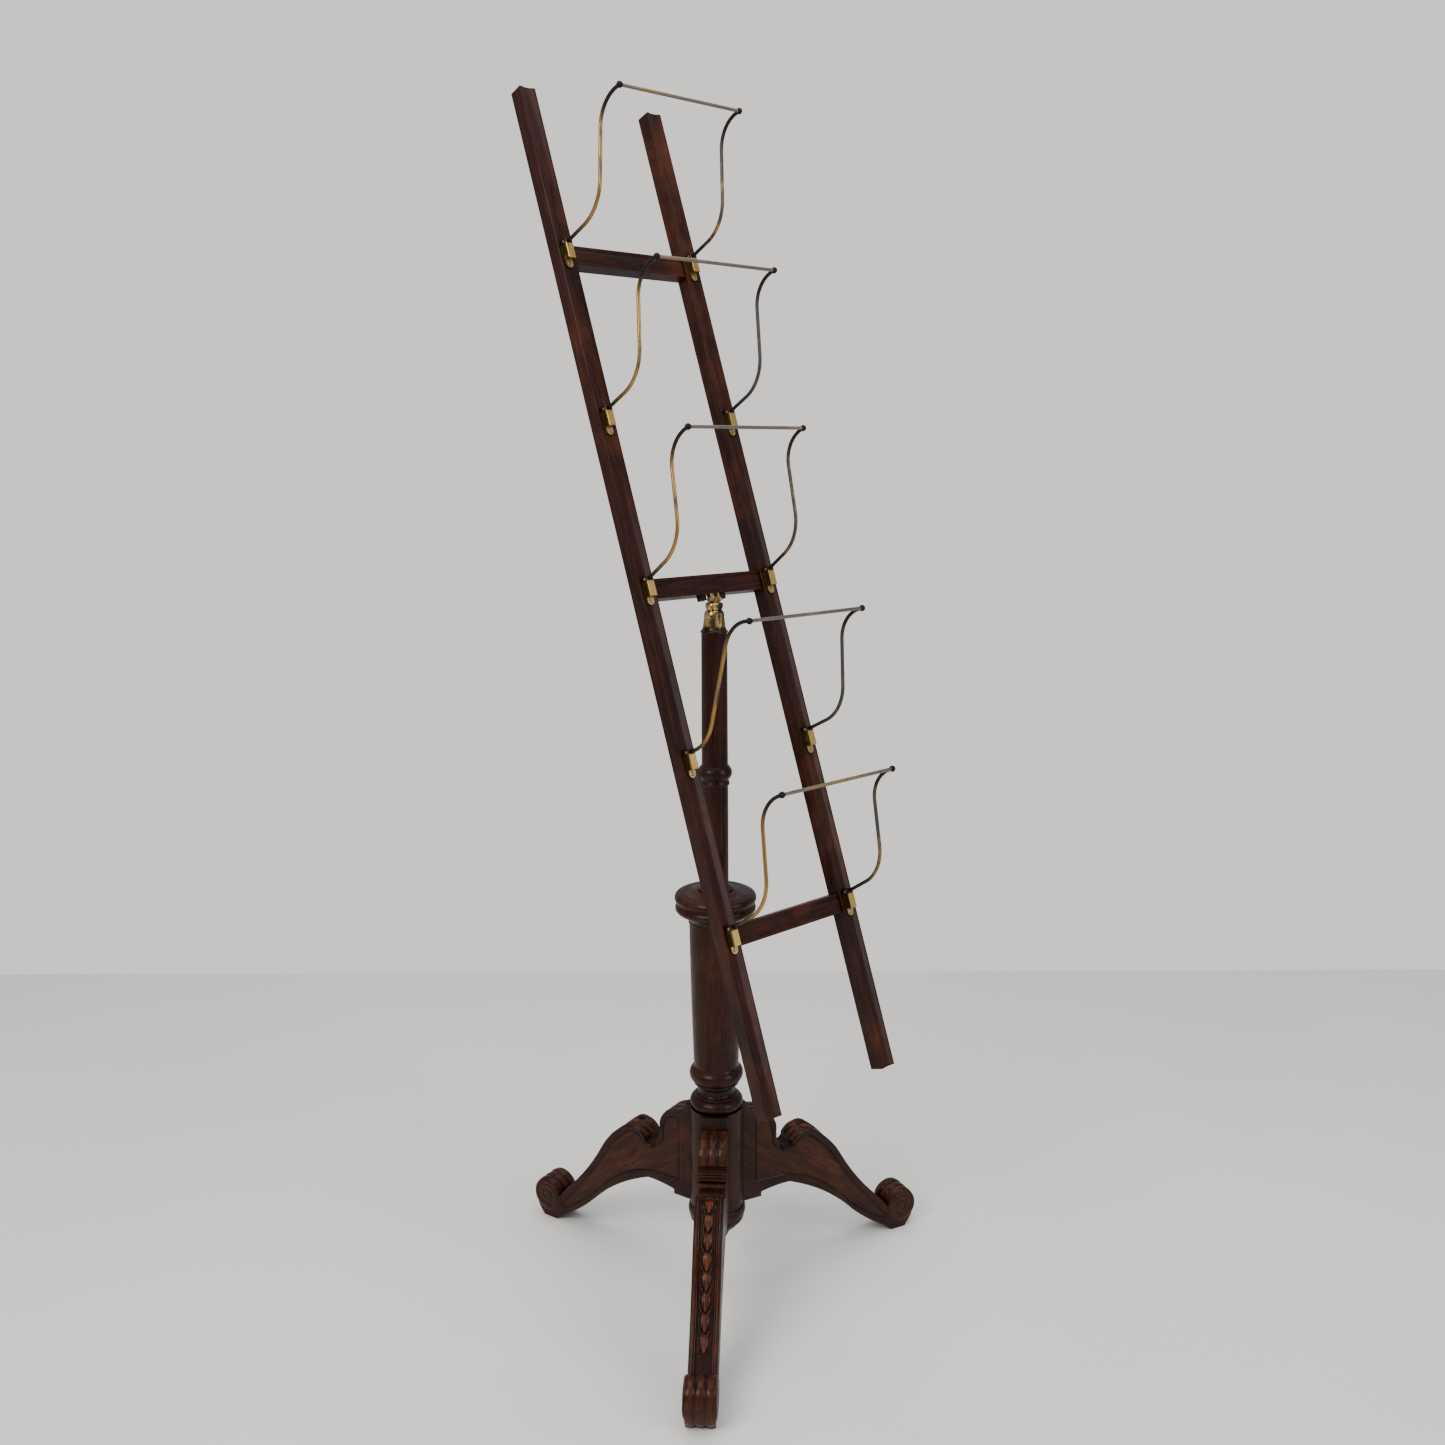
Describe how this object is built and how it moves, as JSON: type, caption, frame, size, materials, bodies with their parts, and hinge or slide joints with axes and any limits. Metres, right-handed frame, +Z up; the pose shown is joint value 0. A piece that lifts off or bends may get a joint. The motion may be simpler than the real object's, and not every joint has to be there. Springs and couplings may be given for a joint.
{
  "type": "rotating display rack",
  "caption": "Free-standing display rack: a tilting wooden ladder frame with folding wire bails for books or prints, turning on a turned post above a carved tripod base.",
  "frame": {"origin": "on the floor, under the middle of the whole rack", "axes": "+Z up; the ladder's front faces -Y at rest; +X runs across the ladder, to the right for someone facing its front"},
  "size_m": [0.623, 0.6167, 1.7716],
  "materials": {
    "mahogany": "satin",
    "bell_brass": "aged, satin",
    "bracket_brass": "pale, satin",
    "bail_wire": "worn, tarnished",
    "bar_steel": "satin",
    "steel": "satin",
    "knob_black": "satin"
  },
  "bodies": {
    "stand": {"leg_1": "mahogany", "leg_2": "mahogany", "leg_3": "mahogany", "leg_dowels": "mahogany", "hub": "mahogany", "base_finial": "mahogany", "column": "mahogany", "upper_post": "mahogany", "bell_ferrule": "bell_brass"},
    "swivel": {"swivel_spindle": "steel", "swivel_collar": "bell_brass", "tilt_tongue": "bell_brass"},
    "ladder": {"stile_left": "mahogany", "stile_right": "mahogany", "rail_top": "mahogany", "rail_middle": "mahogany", "rail_bottom": "mahogany", "hinge_block": "mahogany", "hinge_fork": "bell_brass", "hinge_screws": "steel", "tilt_bolt": "steel", "tilt_nut": "steel", "bracket_left_1": "bracket_brass", "bracket_left_2": "bracket_brass", "bracket_left_3": "bracket_brass", "bracket_left_4": "bracket_brass", "bracket_left_5": "bracket_brass", "bracket_right_1": "bracket_brass", "bracket_right_2": "bracket_brass", "bracket_right_3": "bracket_brass", "bracket_right_4": "bracket_brass", "bracket_right_5": "bracket_brass", "bracket_screws": "steel", "bail_pins": "steel"},
    "bail_1": {"bail_1_arm_left": "bail_wire", "bail_1_arm_right": "bail_wire", "bail_1_bar": "bar_steel", "bail_1_knobs": "knob_black"},
    "bail_2": {"bail_2_arm_left": "bail_wire", "bail_2_arm_right": "bail_wire", "bail_2_bar": "bar_steel", "bail_2_knobs": "knob_black"},
    "bail_3": {"bail_3_arm_left": "bail_wire", "bail_3_arm_right": "bail_wire", "bail_3_bar": "bar_steel", "bail_3_knobs": "knob_black"},
    "bail_4": {"bail_4_arm_left": "bail_wire", "bail_4_arm_right": "bail_wire", "bail_4_bar": "bar_steel", "bail_4_knobs": "knob_black"},
    "bail_5": {"bail_5_arm_left": "bail_wire", "bail_5_arm_right": "bail_wire", "bail_5_bar": "bar_steel", "bail_5_knobs": "knob_black"}
  },
  "joints": [
    {"name": "swivel", "type": "hinge", "parent": "stand", "child": "swivel", "pos_m": [-0.038, -0.044, 1.055], "axis": [0, 0, 1], "continuous": true},
    {"name": "ladder_tilt", "type": "hinge", "parent": "swivel", "child": "ladder", "pos_m": [-0.038, -0.044, 1.0695], "axis": [1, -0.0035, -0.0093], "range_deg": [-26.3, 10]},
    {"name": "bail_1_hinge", "type": "hinge", "parent": "ladder", "child": "bail_1", "pos_m": [-0.03761, 0.12829, 1.55657], "axis": [-1, 0.0035, 0.0093], "range_deg": [0, 45.7]},
    {"name": "bail_2_hinge", "type": "hinge", "parent": "ladder", "child": "bail_2", "pos_m": [-0.04001, 0.0431, 1.33113], "axis": [-1, 0.0035, 0.0093], "range_deg": [0, 42]},
    {"name": "bail_3_hinge", "type": "hinge", "parent": "ladder", "child": "bail_3", "pos_m": [-0.04241, -0.04208, 1.1057], "axis": [-1, 0.0035, 0.0093], "range_deg": [0, 34.9]},
    {"name": "bail_4_hinge", "type": "hinge", "parent": "ladder", "child": "bail_4", "pos_m": [-0.0448, -0.12726, 0.88027], "axis": [-1, 0.0035, 0.0093], "range_deg": [0, 44.4]},
    {"name": "bail_5_hinge", "type": "hinge", "parent": "ladder", "child": "bail_5", "pos_m": [-0.0472, -0.21245, 0.65484], "axis": [-1, 0.0035, 0.0093], "range_deg": [0, 37.5]}
  ]
}
